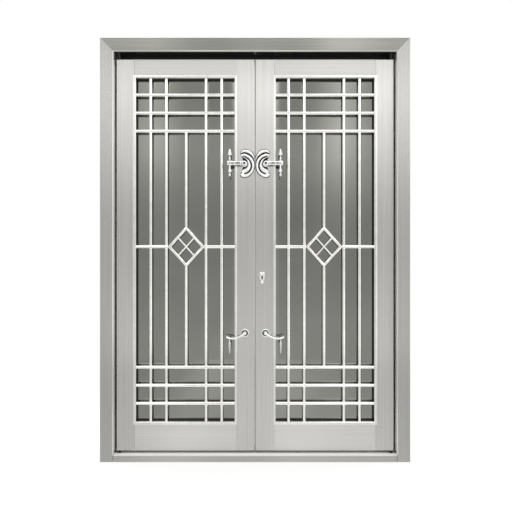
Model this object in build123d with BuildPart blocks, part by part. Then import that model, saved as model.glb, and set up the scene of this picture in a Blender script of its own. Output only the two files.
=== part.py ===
from build123d import *
import os
from math import atan2, degrees, hypot

# Stainless steel double door in its frame, in millimetres. The origin is on the underside of the
# threshold, midway between the jambs and midway through the frame's depth. +X is to the right and
# -Y towards a person who faces the handles. The right leaf is drawn, and the left one mirrors it.

# Frame
frame_width = 1755
frame_height = 2400
frame_depth = 150
jamb_face = 76
head_face = 78
frame_bevel = 7  # along the inner front edge of the jambs and the head
frame_round = 2.5  # outer front edge of the jambs and the head
threshold_height = 36
threshold_round = 3
stop_cover = 12  # how far the stops reach behind a leaf's edge
stop_gap = 6  # from the back of a leaf to the stops

# Leaves
leaf_recess = 55  # from the front of the frame to the front of the leaves
leaf_thickness = 70
side_gap = 7.5
top_gap = 30
bottom_gap = 13
meeting_gap = 5
meeting_lean = 2.5  # how much further back the meeting edge is at the back of a leaf
front_edge_round = 4  # outer edges of a leaf's front, and its ends
back_edge_round = 6
meeting_back_round = 2
seam_width = 1.8  # of the open joint between a rail and a stile
seam_depth = 5
seam_rise = 14  # from the leaf's bottom to the lower end of the joint
hinge_stile_width = 102
meeting_stile_width = 105.5
top_rail_height = 99
bottom_rail_height = 158

# Glazing
bead_width = 17
bead_cover = 8  # how far a front bead laps over the stiles and rails
bead_lip = 3  # how far it stands in front of them
bead_round = 1.4
mitre_kerf = 0.3
pane_setback = 54  # from the front of the leaf to the front of the pane
pane_thickness = 6
pane_edge_gap = 1

# Grille of tubes in front of the pane
tube_setback = 16  # from the front of the leaf to the tubes' axes
upright_diameter = 19
crossbar_diameter = 22
upright_spacing = 114  # from the middle upright to the next one
outer_upright_spacing = 90  # from that one to the outermost
grille_shift = 4  # of the middle upright, from the opening's middle towards the meeting stile
crossbar_pitch = 104
top_crossbar_drop = 94  # from the opening's top to the first crossbar
bottom_crossbar_rise = 102  # from the opening's bottom to the lowest crossbar
crossbar_count = 3  # at the top, and again at the bottom
middle_crossbar_height = 1218
diamond_half_width = 96  # to the tubes' axes
diamond_half_height = 107
diamond_rod_diameter = 12

# Pivots at the leaves' corners
pivot_inset = 14  # from a leaf's outer edge
pivot_setback = 10  # from its front face
pivot_radius = 5
pivot_engagement = 25
pivot_boss_radius = 10
running_clearance = 0.05
thrust_gap = 0.3
lift_gap = 2  # between the upper boss and the leaf
bush_wall = 3
bush_length = 30

# Meeting gasket, in a groove of the right leaf
gasket_width = 8
gasket_setback = 3  # from the front of the leaf to the gasket
gasket_root = 6  # depth of its groove
gasket_running_gap = 0.7  # to the left leaf
gasket_end_gap = 1

# Handles
upper_handle_inset = 61  # from the meeting line to the spindle
upper_handle_height = 1692
lower_handle_inset = 59
lower_handle_height = 724
spindle_radius = 5
plate_gap = 0.3  # between a turning neck and the plate under it
neck_radius = 8
lever_standoff = 42  # from the leaf to the middle of a lever
scroll_width = 82
scroll_height = 166
scroll_rise = 4.5  # of the scroll's middle above the spindle
scroll_edge_gap = 0.8  # from the leaf's meeting edge to the scroll
scroll_thickness = 8
scroll_hollow_radius = 20
scroll_hub_thickness = 4
scroll_hub_overlap = 1  # of the hub disc into the scroll
scroll_mouth = 36  # height of its open side
scroll_round = 2
rose_radius = 24
rose_thickness = 8
rose_round = 3

bar_length = 97  # of the upper lever, from the spindle to the tip
bar_tail = 11  # past the spindle
bar_height = 25
bar_thickness = 12
bar_round = 3.5
finial_inset = 14  # from the tip to the turned ornament
finial_outline = [
    (2.2, 12), (4.6, 17), (3.4, 24), (2.0, 31), (2.2, 43), (9, 45), (11, 50), (5.5, 65), (0, 81),
]  # radius and height above the bar's middle
drop_outline = [
    (2.2, -12), (2.8, -30), (7.6, -54), (6.6, -60), (2.2, -64), (4.8, -70), (3.6, -75), (0, -76.5),
]

curl_radius = 6.5  # of the lower lever's bar
shoulder_radius = 9  # of the round neck that carries it
shoulder_overrun = 8  # of the neck, past the middle of the bar
shoulder_round = 3
curl_tip_radius = 7.5
curl_points = [(0, 0), (30, -18), (64, -27), (103, -22)]  # outwards and upwards from the spindle
pendant_inset = 86  # from the spindle to the pendant under the lower lever
pendant_outline = [(3, -26), (3, -41), (8.5, -45), (9, -52), (4.5, -108), (0, -114)]

# Lock
key_inset = 40
key_height = 1041
escutcheon_thickness = 3
escutcheon_round = 1
lobe_radius = 8
lobe_spread = 7
lobe_rise = 26
waist_radius = 7
waist_drop = 14
foot_radius = 8.5
foot_drop = 26
keyhole_length = 23
keyhole_width = 8
keyhole_depth = 12

# Places that follow from the sizes above
frame_front = -frame_depth / 2
frame_back = frame_depth / 2
reveal_x = frame_width / 2 - jamb_face
soffit_z = frame_height - head_face
leaf_front = frame_front + leaf_recess
leaf_back = leaf_front + leaf_thickness
leaf_outer = reveal_x - side_gap
leaf_inner = meeting_gap / 2
leaf_bottom = threshold_height + bottom_gap
leaf_top = soffit_z - top_gap
leaf_height = leaf_top - leaf_bottom
stop_front = leaf_back + stop_gap
stop_x = leaf_outer - stop_cover
threshold_stop_top = leaf_bottom + stop_cover
head_stop_bottom = leaf_top - stop_cover

bead_leg = bead_width - bead_cover
stile_in = leaf_inner + meeting_stile_width
stile_out = leaf_outer - hinge_stile_width
rail_low = leaf_bottom + bottom_rail_height
rail_high = leaf_top - top_rail_height
open_in = stile_in + bead_leg
open_out = stile_out - bead_leg
open_low = rail_low + bead_leg
open_high = rail_high - bead_leg
opening_middle = (open_in + open_out) / 2
pane_front = leaf_front + pane_setback
pane_back = pane_front + pane_thickness

tube_y = leaf_front + tube_setback
grille_x = opening_middle - grille_shift
pivot_x = leaf_outer - pivot_inset
pivot_y = leaf_front + pivot_setback
bush_bore = pivot_radius + running_clearance
bush_radius = bush_bore + bush_wall
spindle_bore = spindle_radius + running_clearance
lever_y = leaf_front - lever_standoff
back_lever_y = leaf_back + lever_standoff
scroll_front = leaf_front - scroll_thickness
hub_front = leaf_front - scroll_hub_thickness
rose_front = leaf_front - rose_thickness
rose_back = leaf_back + rose_thickness
gasket_front = leaf_front + gasket_setback

front_plane = Plane((0, leaf_front, 0), x_dir=(1, 0, 0), z_dir=(0, -1, 0))  # faces out of the leaves
back_plane = Plane((0, leaf_back, 0), x_dir=(-1, 0, 0), z_dir=(0, 1, 0))

os.makedirs("parts", exist_ok=True)


def write(name, piece):
    piece.part.label = name
    export_step(piece.part, f"parts/{name}.step")


def write_pair(name, right_piece):
    with BuildPart() as left_piece:
        mirror(right_piece.part, about=Plane.YZ)
    write(f"left_{name}", left_piece)
    write(f"right_{name}", right_piece)


def box_between(low, high, mode=Mode.ADD):
    size = [top - bottom for bottom, top in zip(low, high)]
    with Locations(tuple((bottom + top) / 2 for bottom, top in zip(low, high))):
        Box(*size, mode=mode)


def along_y(radius, start, end, x, z, mode=Mode.ADD):
    with Locations((x, (start + end) / 2, z)):
        Cylinder(radius, end - start, rotation=(90, 0, 0), mode=mode)


# Frame: jambs and head meet in mitres, the threshold stands between the jambs
mitre = Plane(origin=(reveal_x, 0, soffit_z), z_dir=(-head_face, 0, jamb_face))

with BuildPart() as jamb:
    with BuildSketch(Plane.XY):
        with BuildLine():
            Polyline(
                (reveal_x, frame_back),
                (reveal_x, frame_front + frame_bevel),
                (reveal_x + frame_bevel, frame_front),
                (frame_width / 2, frame_front),
                (frame_width / 2, frame_back),
                close=True,
            )
        make_face()
    extrude(amount=frame_height)
    outer_front = jamb.edges().filter_by(Axis.Z).sort_by(Axis.Y)[:2].sort_by(Axis.X)[-1]
    fillet(outer_front, frame_round)
    split(bisect_by=mitre, keep=Keep.BOTTOM)
write_pair("jamb", jamb)

with BuildPart() as frame_head:
    with BuildSketch(Plane.YZ):
        with BuildLine():
            Polyline(
                (frame_back, soffit_z),
                (frame_front + frame_bevel, soffit_z),
                (frame_front, soffit_z + frame_bevel),
                (frame_front, frame_height),
                (frame_back, frame_height),
                close=True,
            )
        make_face()
    extrude(amount=frame_width / 2)
    outer_front = frame_head.edges().filter_by(Axis.X).sort_by(Axis.Y)[:2].sort_by(Axis.Z)[-1]
    fillet(outer_front, frame_round)
    split(bisect_by=mitre, keep=Keep.TOP)
    mirror(about=Plane.YZ)
write("frame_head", frame_head)

with BuildPart() as threshold:
    with BuildSketch(Plane.YZ):
        with BuildLine():
            Polyline(
                (frame_front, 0),
                (frame_back, 0),
                (frame_back, threshold_stop_top),
                (stop_front, threshold_stop_top),
                (stop_front, threshold_height),
                (frame_front, threshold_height),
                close=True,
            )
        make_face()
    extrude(amount=reveal_x, both=True)
    nosing = threshold.edges().filter_by(Axis.X).sort_by(Axis.Y)[:2].sort_by(Axis.Z)[-1]
    fillet(nosing, threshold_round)
write("threshold", threshold)

with BuildPart() as side_stop:
    box_between((stop_x, stop_front, threshold_stop_top), (reveal_x, frame_back, head_stop_bottom))
write_pair("stop", side_stop)

with BuildPart() as head_stop:
    box_between((-reveal_x, stop_front, head_stop_bottom), (reveal_x, frame_back, soffit_z))
write("head_stop", head_stop)

# Pivot pins: a boss that carries or guides the leaf, and a pin that runs in the leaf's bush
lower_shoulder = leaf_bottom - thrust_gap
upper_shoulder = leaf_top + lift_gap

with BuildPart() as pivot_pins:
    with BuildSketch(Plane.XY.offset(threshold_height)):
        with Locations((pivot_x, pivot_y)):
            Circle(pivot_boss_radius)
    extrude(amount=lower_shoulder - threshold_height)
    with BuildSketch(Plane.XY.offset(lower_shoulder)):
        with Locations((pivot_x, pivot_y)):
            Circle(pivot_radius)
    extrude(amount=pivot_engagement)
    with BuildSketch(Plane.XY.offset(soffit_z)):
        with Locations((pivot_x, pivot_y)):
            Circle(pivot_boss_radius)
    extrude(amount=upper_shoulder - soffit_z)
    with BuildSketch(Plane.XY.offset(upper_shoulder)):
        with Locations((pivot_x, pivot_y)):
            Circle(pivot_radius)
    extrude(amount=-pivot_engagement)
    mirror(about=Plane.YZ)
write("pivot_pins", pivot_pins)

# Leaf: two full-height stiles with the rails between them
with BuildPart() as pivot_bushes:
    for end_z, length in ((leaf_bottom, bush_length), (leaf_top, -bush_length)):
        with BuildSketch(Plane.XY.offset(end_z)):
            with Locations((pivot_x, pivot_y)):
                Circle(bush_radius)
                Circle(bush_bore, mode=Mode.SUBTRACT)
        extrude(amount=length)
write_pair("pivot_bushes", pivot_bushes)

with BuildPart() as hinge_stile:
    box_between((stile_out, leaf_front, leaf_bottom), (leaf_outer, leaf_back, leaf_top))
    fillet(hinge_stile.faces().sort_by(Axis.Y)[0].edges().sort_by(Axis.X)[1:], front_edge_round)
    fillet(hinge_stile.edges().filter_by(Axis.Z).group_by(Axis.X)[-1].sort_by(Axis.Y)[-1], back_edge_round)
    for end_z, length in ((leaf_bottom, bush_length), (leaf_top, -bush_length)):
        with BuildSketch(Plane.XY.offset(end_z)):
            with Locations((pivot_x, pivot_y)):
                Circle(bush_radius)
        extrude(amount=length, mode=Mode.SUBTRACT)
write_pair("hinge_stile", hinge_stile)

with BuildPart() as meeting_stile:
    with BuildSketch(Plane.XY.offset(leaf_bottom)) as stile_outline:
        with BuildLine():
            Polyline(
                (leaf_inner, leaf_front),
                (stile_in, leaf_front),
                (stile_in, leaf_back),
                (leaf_inner + meeting_lean, leaf_back),
                close=True,
            )
        make_face()
        meeting_corners = stile_outline.vertices().sort_by(Axis.X)[:2]
        fillet(meeting_corners.sort_by(Axis.Y)[0], front_edge_round)
        fillet(stile_outline.vertices().group_by(Axis.Y)[-1].sort_by(Axis.X)[0], meeting_back_round)
    extrude(amount=leaf_height)
    fillet(meeting_stile.faces().sort_by(Axis.Y)[0].edges().filter_by(Axis.X), front_edge_round)
    along_y(spindle_bore, leaf_front, leaf_back, upper_handle_inset, upper_handle_height, Mode.SUBTRACT)
    along_y(spindle_bore, leaf_front, leaf_back, lower_handle_inset, lower_handle_height, Mode.SUBTRACT)

with BuildPart() as left_meeting_stile:
    mirror(meeting_stile.part, about=Plane.YZ)
write("left_meeting_stile", left_meeting_stile)

gasket_low = (-leaf_inner + gasket_running_gap, gasket_front, leaf_bottom + gasket_end_gap)
gasket_high = (leaf_inner + gasket_root, gasket_front + gasket_width, leaf_top - gasket_end_gap)

with BuildPart() as right_meeting_stile:
    add(meeting_stile.part)
    box_between(
        (-leaf_inner, gasket_front, leaf_bottom),
        (leaf_inner + gasket_root, gasket_front + gasket_width, leaf_top),
        mode=Mode.SUBTRACT,
    )
    for face_plane in (front_plane, back_plane):
        with BuildSketch(face_plane):
            with Locations(face_plane.to_local_coords(Vector(key_inset, face_plane.origin.Y, key_height))):
                SlotOverall(keyhole_length, keyhole_width, rotation=90)
        extrude(amount=-keyhole_depth, mode=Mode.SUBTRACT)
write("right_meeting_stile", right_meeting_stile)

with BuildPart() as meeting_gasket:
    box_between(gasket_low, gasket_high)
    tip_edges = meeting_gasket.edges().filter_by(Axis.Z).group_by(Axis.X)[0]
    fillet(tip_edges, gasket_width / 4)
write("meeting_gasket", meeting_gasket)



def open_seams(low, high):
    for seam_start in (stile_in, stile_out - seam_width):
        seam_low = (seam_start, leaf_front, low)
        box_between(seam_low, (seam_start + seam_width, leaf_front + seam_depth, high), Mode.SUBTRACT)


with BuildPart() as top_rail:
    box_between((stile_in, leaf_front, rail_high), (stile_out, leaf_back, leaf_top))
    fillet(top_rail.faces().sort_by(Axis.Y)[0].edges().sort_by(Axis.Z)[-1], front_edge_round)
    open_seams(rail_high, leaf_top)
write_pair("top_rail", top_rail)

with BuildPart() as bottom_rail:
    box_between((stile_in, leaf_front, leaf_bottom), (stile_out, leaf_back, rail_low))
    fillet(bottom_rail.faces().sort_by(Axis.Y)[0].edges().sort_by(Axis.Z)[0], front_edge_round)
    open_seams(leaf_bottom + seam_rise, rail_low)
write_pair("bottom_rail", bottom_rail)


# Glazing: a pane between front and back beads, each bead a mitred frame of four strips
def rectangle_ring(outer_margin, start_y, end_y):
    with BuildSketch(Plane.XZ.offset(-start_y)) as ring:
        with Locations((opening_middle, (open_low + open_high) / 2)):
            Rectangle(open_out - open_in + 2 * outer_margin, open_high - open_low + 2 * outer_margin)
            Rectangle(open_out - open_in, open_high - open_low, mode=Mode.SUBTRACT)
    extrude(ring.sketch, amount=start_y - end_y)


def cut_mitres():
    reach = 4 * bead_width
    for corner_x, corner_z, slope in (
        (open_in, open_low, 45),
        (open_in, open_high, -45),
        (open_out, open_low, -45),
        (open_out, open_high, 45),
    ):
        with Locations(Location((corner_x, (leaf_front + leaf_back) / 2, corner_z), (0, -slope, 0))):
            Box(reach, 2 * leaf_thickness, mitre_kerf, mode=Mode.SUBTRACT)


with BuildPart() as front_beads:
    rectangle_ring(bead_width, leaf_front - bead_lip, leaf_front)
    rectangle_ring(bead_leg, leaf_front, pane_front)
    fillet(front_beads.faces().sort_by(Axis.Y)[0].edges(), bead_round)
    cut_mitres()
write_pair("front_beads", front_beads)

with BuildPart() as back_beads:
    rectangle_ring(bead_leg, pane_back, leaf_back)
    cut_mitres()
write_pair("back_beads", back_beads)

with BuildPart() as glass:
    box_between(
        (stile_in + pane_edge_gap, pane_front, rail_low + pane_edge_gap),
        (stile_out - pane_edge_gap, pane_back, rail_high - pane_edge_gap),
    )
write_pair("glass", glass)

# Diamond: one side is cut to its quarter and mirrored twice, which mitres the corners
side_angle = degrees(atan2(diamond_half_width, diamond_half_height))
side_length = hypot(diamond_half_width, diamond_half_height)
centre_yz = Plane.YZ.offset(grille_x)
centre_xy = Plane.XY.offset(middle_crossbar_height)

with BuildPart() as diamond:
    side_middle = (grille_x + diamond_half_width / 2, tube_y, middle_crossbar_height + diamond_half_height / 2)
    with Locations(Location(side_middle, (0, -side_angle, 0))):
        Cylinder(upright_diameter / 2, 2 * side_length)
    split(bisect_by=centre_yz, keep=Keep.TOP)
    split(bisect_by=centre_xy, keep=Keep.TOP)
    mirror(about=centre_yz)
    mirror(about=centre_xy)
    for lean in (side_angle, -side_angle):
        with Locations(Location((grille_x, tube_y, middle_crossbar_height), (0, lean, 0))):
            Cylinder(diamond_rod_diameter / 2, side_length)
write_pair("diamond", diamond)

# Grille: uprights and crossbars welded in one plane, coped round the diamond
top_crossbars = [open_high - top_crossbar_drop - i * crossbar_pitch for i in range(crossbar_count)]
bottom_crossbars = [open_low + bottom_crossbar_rise + i * crossbar_pitch for i in range(crossbar_count)]
outer_spacing = upright_spacing + outer_upright_spacing


def upright(x, low, high):
    with Locations((x, tube_y, (low + high) / 2)):
        Cylinder(upright_diameter / 2, high - low)


def crossbar(z, start, end):
    with Locations(((start + end) / 2, tube_y, z)):
        Cylinder(crossbar_diameter / 2, end - start, rotation=(0, 90, 0))


with BuildPart() as grille:
    for offset in (-outer_spacing, -upright_spacing, upright_spacing, outer_spacing):
        upright(grille_x + offset, open_low, open_high)
    upright(grille_x, middle_crossbar_height + diamond_half_height, top_crossbars[-1])
    upright(grille_x, bottom_crossbars[-1], middle_crossbar_height - diamond_half_height)
    for z in top_crossbars + bottom_crossbars:
        crossbar(z, open_in, open_out)
    crossbar(middle_crossbar_height, open_in, grille_x - diamond_half_width)
    crossbar(middle_crossbar_height, grille_x + diamond_half_width, open_out)
    add(diamond.part, mode=Mode.SUBTRACT)
write_pair("grille", grille)

# Upper handles: a C-shaped scroll round the spindle, open to the side that the lever comes from
scroll_x = leaf_inner + scroll_edge_gap + scroll_width / 2
scroll_z = upper_handle_height + scroll_rise
scroll_hub_radius = scroll_hollow_radius + scroll_hub_overlap

with BuildPart() as scroll_plate:
    with BuildSketch(front_plane):
        with Locations((scroll_x, scroll_z)):
            Ellipse(scroll_width / 2, scroll_height / 2)
        with Locations((upper_handle_inset, upper_handle_height)):
            Circle(scroll_hollow_radius, mode=Mode.SUBTRACT)
        with Locations((upper_handle_inset + scroll_width / 2, upper_handle_height)):
            Rectangle(scroll_width, scroll_mouth, mode=Mode.SUBTRACT)
    extrude(amount=scroll_thickness)
    fillet(scroll_plate.faces().sort_by(Axis.Y)[0].edges(), scroll_round)
    along_y(scroll_hub_radius, hub_front, leaf_front, upper_handle_inset, upper_handle_height)
    along_y(spindle_bore, scroll_front, leaf_front, upper_handle_inset, upper_handle_height, Mode.SUBTRACT)
write_pair("scroll_plate", scroll_plate)


def turned(outline, x, y, z):
    with BuildSketch(Plane((x, y, z), x_dir=(1, 0, 0), z_dir=(0, -1, 0))) as profile:
        with BuildLine():
            Polyline((0, outline[0][1]), *outline, close=True)
        make_face()
    revolve(profile.sketch, axis=Axis((x, y, z), (0, 0, 1)))


with BuildPart() as upper_lever:
    along_y(neck_radius, lever_y, hub_front - plate_gap, upper_handle_inset, upper_handle_height)
    along_y(spindle_radius, hub_front - plate_gap, rose_back + plate_gap, upper_handle_inset, upper_handle_height)
    with BuildSketch(Plane.YZ.offset(upper_handle_inset - bar_tail)):
        with Locations((lever_y, upper_handle_height)):
            RectangleRounded(bar_thickness, bar_height, bar_round)
    extrude(amount=bar_tail + bar_length)
    finial_x = upper_handle_inset + bar_length - finial_inset
    turned(finial_outline, finial_x, lever_y, upper_handle_height)
    turned(drop_outline, finial_x, lever_y, upper_handle_height)
write_pair("upper_lever", upper_lever)


# Roses, and the curved lever that the lower handles and all the back handles share
def rose(face_plane, x, z):
    with BuildSketch(face_plane) as disc:
        with Locations(face_plane.to_local_coords(Vector(x, face_plane.origin.Y, z))):
            Circle(rose_radius)
            Circle(spindle_bore, mode=Mode.SUBTRACT)
    extrude(disc.sketch, amount=rose_thickness)


def curved_lever(x, y, z):
    with BuildLine(Plane((x, y, z), x_dir=(1, 0, 0), z_dir=(0, -1, 0))) as centre_line:
        shank = ThreePointArc(*curl_points[:3])
        TangentArc(curl_points[2], curl_points[3], tangent=shank % 1)
    path = centre_line.wires()[0]
    with BuildSketch(Plane(path @ 0, z_dir=path % 0)) as section:
        Circle(curl_radius)
    sweep(section.sketch, path=path)
    with Locations(path @ 1):
        Sphere(curl_tip_radius)


with BuildPart() as lower_rose:
    rose(front_plane, lower_handle_inset, lower_handle_height)
    fillet(lower_rose.faces().sort_by(Axis.Y)[0].outer_wire().edges(), rose_round)
write_pair("lower_rose", lower_rose)

with BuildPart() as lower_lever:
    neck_end = rose_front - plate_gap
    along_y(shoulder_radius, lever_y - shoulder_overrun, neck_end, lower_handle_inset, lower_handle_height)
    fillet(lower_lever.faces().sort_by(Axis.Y)[0].edges(), shoulder_round)
    along_y(spindle_radius, neck_end, rose_back + plate_gap, lower_handle_inset, lower_handle_height)
    curved_lever(lower_handle_inset, lever_y, lower_handle_height)
    turned(pendant_outline, lower_handle_inset + pendant_inset, lever_y, lower_handle_height)
write_pair("lower_lever", lower_lever)

handles = (
    ("upper", upper_handle_inset, upper_handle_height),
    ("lower", lower_handle_inset, lower_handle_height),
)

with BuildPart() as back_roses:
    for handle_name, handle_x, handle_z in handles:
        rose(back_plane, handle_x, handle_z)
write_pair("back_roses", back_roses)

for handle_name, handle_x, handle_z in handles:
    with BuildPart() as back_lever:
        along_y(shoulder_radius, rose_back + plate_gap, back_lever_y + shoulder_overrun, handle_x, handle_z)
        fillet(back_lever.faces().sort_by(Axis.Y)[-1].edges(), shoulder_round)
        curved_lever(handle_x, back_lever_y, handle_z)
    write_pair(f"{handle_name}_back_lever", back_lever)

# Key escutcheons of the right leaf, one on each face
with BuildPart() as key_escutcheons:
    for face_plane in (front_plane, back_plane):
        with BuildSketch(face_plane):
            with Locations(face_plane.to_local_coords(Vector(key_inset, face_plane.origin.Y, key_height))):
                with Locations((-lobe_spread, lobe_rise), (lobe_spread, lobe_rise), (0, 0)):
                    Circle(lobe_radius)
                with Locations((0, -waist_drop)):
                    Circle(waist_radius)
                make_hull(mode=Mode.ADD)
                with Locations((0, -foot_drop)):
                    Circle(foot_radius)
                SlotOverall(keyhole_length, keyhole_width, rotation=90, mode=Mode.SUBTRACT)
        extrude(amount=escutcheon_thickness)
write("key_escutcheons", key_escutcheons)
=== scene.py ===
from math import atan2, cos, pi, radians, sin, sqrt

import bmesh
import bpy
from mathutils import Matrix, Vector


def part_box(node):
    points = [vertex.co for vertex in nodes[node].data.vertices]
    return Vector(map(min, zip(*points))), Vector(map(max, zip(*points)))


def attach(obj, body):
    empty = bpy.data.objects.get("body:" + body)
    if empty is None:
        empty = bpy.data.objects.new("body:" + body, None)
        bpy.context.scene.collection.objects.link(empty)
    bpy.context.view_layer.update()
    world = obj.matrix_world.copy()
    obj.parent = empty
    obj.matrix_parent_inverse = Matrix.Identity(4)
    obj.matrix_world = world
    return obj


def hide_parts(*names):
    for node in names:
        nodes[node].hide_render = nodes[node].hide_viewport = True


# Steel double door, dressed for rendering. Sizes in the dictionaries are in millimetres.
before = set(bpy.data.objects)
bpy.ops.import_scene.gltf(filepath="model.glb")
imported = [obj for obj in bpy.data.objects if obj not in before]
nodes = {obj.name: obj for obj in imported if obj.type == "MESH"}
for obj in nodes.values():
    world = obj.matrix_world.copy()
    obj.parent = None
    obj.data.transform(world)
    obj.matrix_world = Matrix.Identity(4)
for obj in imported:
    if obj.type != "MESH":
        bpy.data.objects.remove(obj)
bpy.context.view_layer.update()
mm = 0.001

# Camera: level, a little right of the meeting line, from about four metres
viewPoint = {"side": 5, "distance": 4275, "height": 1165, "lens": 52.25}
camera = bpy.data.objects.new("camera", bpy.data.cameras.new("camera"))
camera.data.lens = viewPoint["lens"]
camera.location = (viewPoint["side"] * mm, -viewPoint["distance"] * mm, viewPoint["height"] * mm)
camera.rotation_euler = (pi / 2, 0, 0)
bpy.context.collection.objects.link(camera)
bpy.context.scene.camera = camera
bpy.context.scene.view_settings.view_transform = "Standard"
print("camera placed")


def linear(hexCode):
    channels = [int(hexCode[i : i + 2], 16) / 255 for i in (0, 2, 4)]
    return tuple(c / 12.92 if c < 0.04045 else ((c + 0.055) / 1.055) ** 2.4 for c in channels) + (1,)


def addNode(tree, kind, values=None, links=None, **options):
    node = tree.nodes.new(kind)
    for option, value in options.items():
        setattr(node, option, value)
    for socket, value in (values or {}).items():
        node.inputs[socket].default_value = value
    for socket, source in (links or {}).items():
        tree.links.new(source, node.inputs[socket])
    return node


def setRamp(node, stops):
    stops = list(stops)
    ramp = node.color_ramp
    while len(ramp.elements) < len(stops):
        ramp.elements.new(0.5)
    for element, (position, colour) in zip(ramp.elements, stops):
        element.position = position
        element.color = colour


def newMaterial(name):
    material = bpy.data.materials.new(name)
    material.use_nodes = True
    material.node_tree.nodes.clear()
    return material, material.node_tree


def finishMaterial(tree, shader):
    addNode(tree, "ShaderNodeOutputMaterial", links={"Surface": shader.outputs[0]})


# Studio: a soft surround. Its level changes with height and side, and two long softboxes stand at the sides,
# so that the brushed steel, which mirrors widely across its grain, gets a band of light that the glass
# doesn't show. The eye sees plain white behind the door. Each pair is an angle in degrees from straight
# ahead and a level, where 1 is white.
studio = {
    "heightLevels": [
        (-60, 0.95), (-25, 0.95), (-13, 0.95), (-7, 0.86), (-3, 0.75), (0, 0.68), (3, 0.64), (5, 0.74),
        (7.5, 0.94), (9, 0.96), (10.5, 0.82), (12.5, 0.78), (15, 0.81), (19, 0.97), (24, 1.0), (30, 0.9),
        (40, 1.15), (55, 1.5), (80, 1.6),
    ],
    "sideLevels": [
        (-80, 1.25), (-50, 1.3), (-25, 1.2), (-14, 1), (-1.6, 1), (-1.2, 1.8), (1.2, 1.8), (1.6, 1), (9, 1),
        (14, 1.1), (25, 1.55), (50, 1.75), (80, 1.6),
    ],
    "lobes": [  # upright bands that are brighter or darker by this factor, higher up
        (-60, 0.7), (-17, 0.7), (-14, 1.05), (-11.8, 1.5), (-9.7, 1.1), (-7.5, 3.0), (-5.4, 1.0), (-3, 0.8),
        (-1.6, 0.8), (-1.2, 0.3), (1.2, 0.3), (1.6, 0.8), (3, 0.8), (4.4, 1.2), (6.4, 4.0), (8.6, 1.6),
        (11, 1.1), (13, 1.2), (17, 0.7), (60, 0.7),
    ],
    "lobeHeights": [(0, 0), (6, 0.18), (9, 0.3), (13, 0.4), (15, 1), (40, 1), (60, 0)],  # their share
    "boxSides": [
        (-75, 0), (-60, 0.6), (-10.8, 0.6), (-9.6, 0), (-1.6, 0), (-1.2, 2.3), (1.2, 2.3), (1.6, 0),
        (9.6, 0), (10.8, 0.9), (60, 0.9), (75, 0),
    ],
    "boxHeights": [(7, 0), (9, 0.18), (10.5, 0.4), (11.8, 0.7), (13, 1.25), (13.8, 0.6), (14.8, 0)],
    "boxLevel": 1.7,
    "rampTop": 4,  # a colour ramp holds 0 to 1, so each level is stored as a share of this
    "lampPower": 30,
    "lampSize": 2600,
    "lampPlace": (-1900, -3600, 3900),
    "lampAim": (0, 0, 1100),
}
world = bpy.data.worlds.new("studio")
world.use_nodes = True
tree = world.node_tree
tree.nodes.clear()
direction = addNode(tree, "ShaderNodeTexCoord")
parts = addNode(tree, "ShaderNodeSeparateXYZ", links={"Vector": direction.outputs["Generated"]})
levels = {}
for key, axis in (
    ("heightLevels", "Z"), ("sideLevels", "X"), ("lobes", "X"), ("lobeHeights", "Z"), ("boxSides", "X"),
    ("boxHeights", "Z"),
):
    span = addNode(
        tree, "ShaderNodeMapRange", {"From Min": -1, "From Max": 1}, {"Value": parts.outputs[axis]}
    )
    ramp = addNode(tree, "ShaderNodeValToRGB", links={"Fac": span.outputs[0]})
    top = studio["rampTop"]
    setRamp(ramp, [((sin(radians(a)) + 1) / 2, (level / top,) * 3 + (1,)) for a, level in studio[key]])
    restored = addNode(tree, "ShaderNodeMath", {1: top}, {0: ramp.outputs[0]}, operation="MULTIPLY")
    levels[key] = restored.outputs[0]
soft = addNode(
    tree, "ShaderNodeMath", links={0: levels["heightLevels"], 1: levels["sideLevels"]}, operation="MULTIPLY"
)
extra = addNode(tree, "ShaderNodeMath", {1: 1}, {0: levels["lobes"]}, operation="SUBTRACT")
lobe = addNode(
    tree, "ShaderNodeMath", links={0: extra.outputs[0], 1: levels["lobeHeights"]}, operation="MULTIPLY"
)
lobed = addNode(
    tree,
    "ShaderNodeMath",
    links={0: soft.outputs[0], 1: lobe.outputs[0], 2: soft.outputs[0]},
    operation="MULTIPLY_ADD",
)
box = addNode(
    tree, "ShaderNodeMath", links={0: levels["boxSides"], 1: levels["boxHeights"]}, operation="MULTIPLY"
)
level = addNode(
    tree,
    "ShaderNodeMath",
    {1: studio["boxLevel"]},
    {0: box.outputs[0], 2: lobed.outputs[0]},
    operation="MULTIPLY_ADD",
)
rays = addNode(tree, "ShaderNodeLightPath")
seen = addNode(
    tree,
    "ShaderNodeMix",
    {"B": 1},
    {"Factor": rays.outputs["Is Camera Ray"], "A": level.outputs[0]},
    data_type="FLOAT",
)
surround = addNode(tree, "ShaderNodeBackground", {"Color": (1, 1, 1, 1)}, {"Strength": seen.outputs[0]})
addNode(tree, "ShaderNodeOutputWorld", links={"Surface": surround.outputs[0]})
bpy.context.scene.world = world

lamp = bpy.data.objects.new("softbox", bpy.data.lights.new("softbox", "AREA"))
lamp.data.energy = studio["lampPower"]
lamp.data.size = studio["lampSize"] * mm
lamp.location = Vector(studio["lampPlace"]) * mm
lamp.rotation_euler = (Vector(studio["lampAim"]) * mm - lamp.location).to_track_quat("-Z", "Y").to_euler()
lamp.visible_glossy = False
bpy.context.collection.objects.link(lamp)

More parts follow.
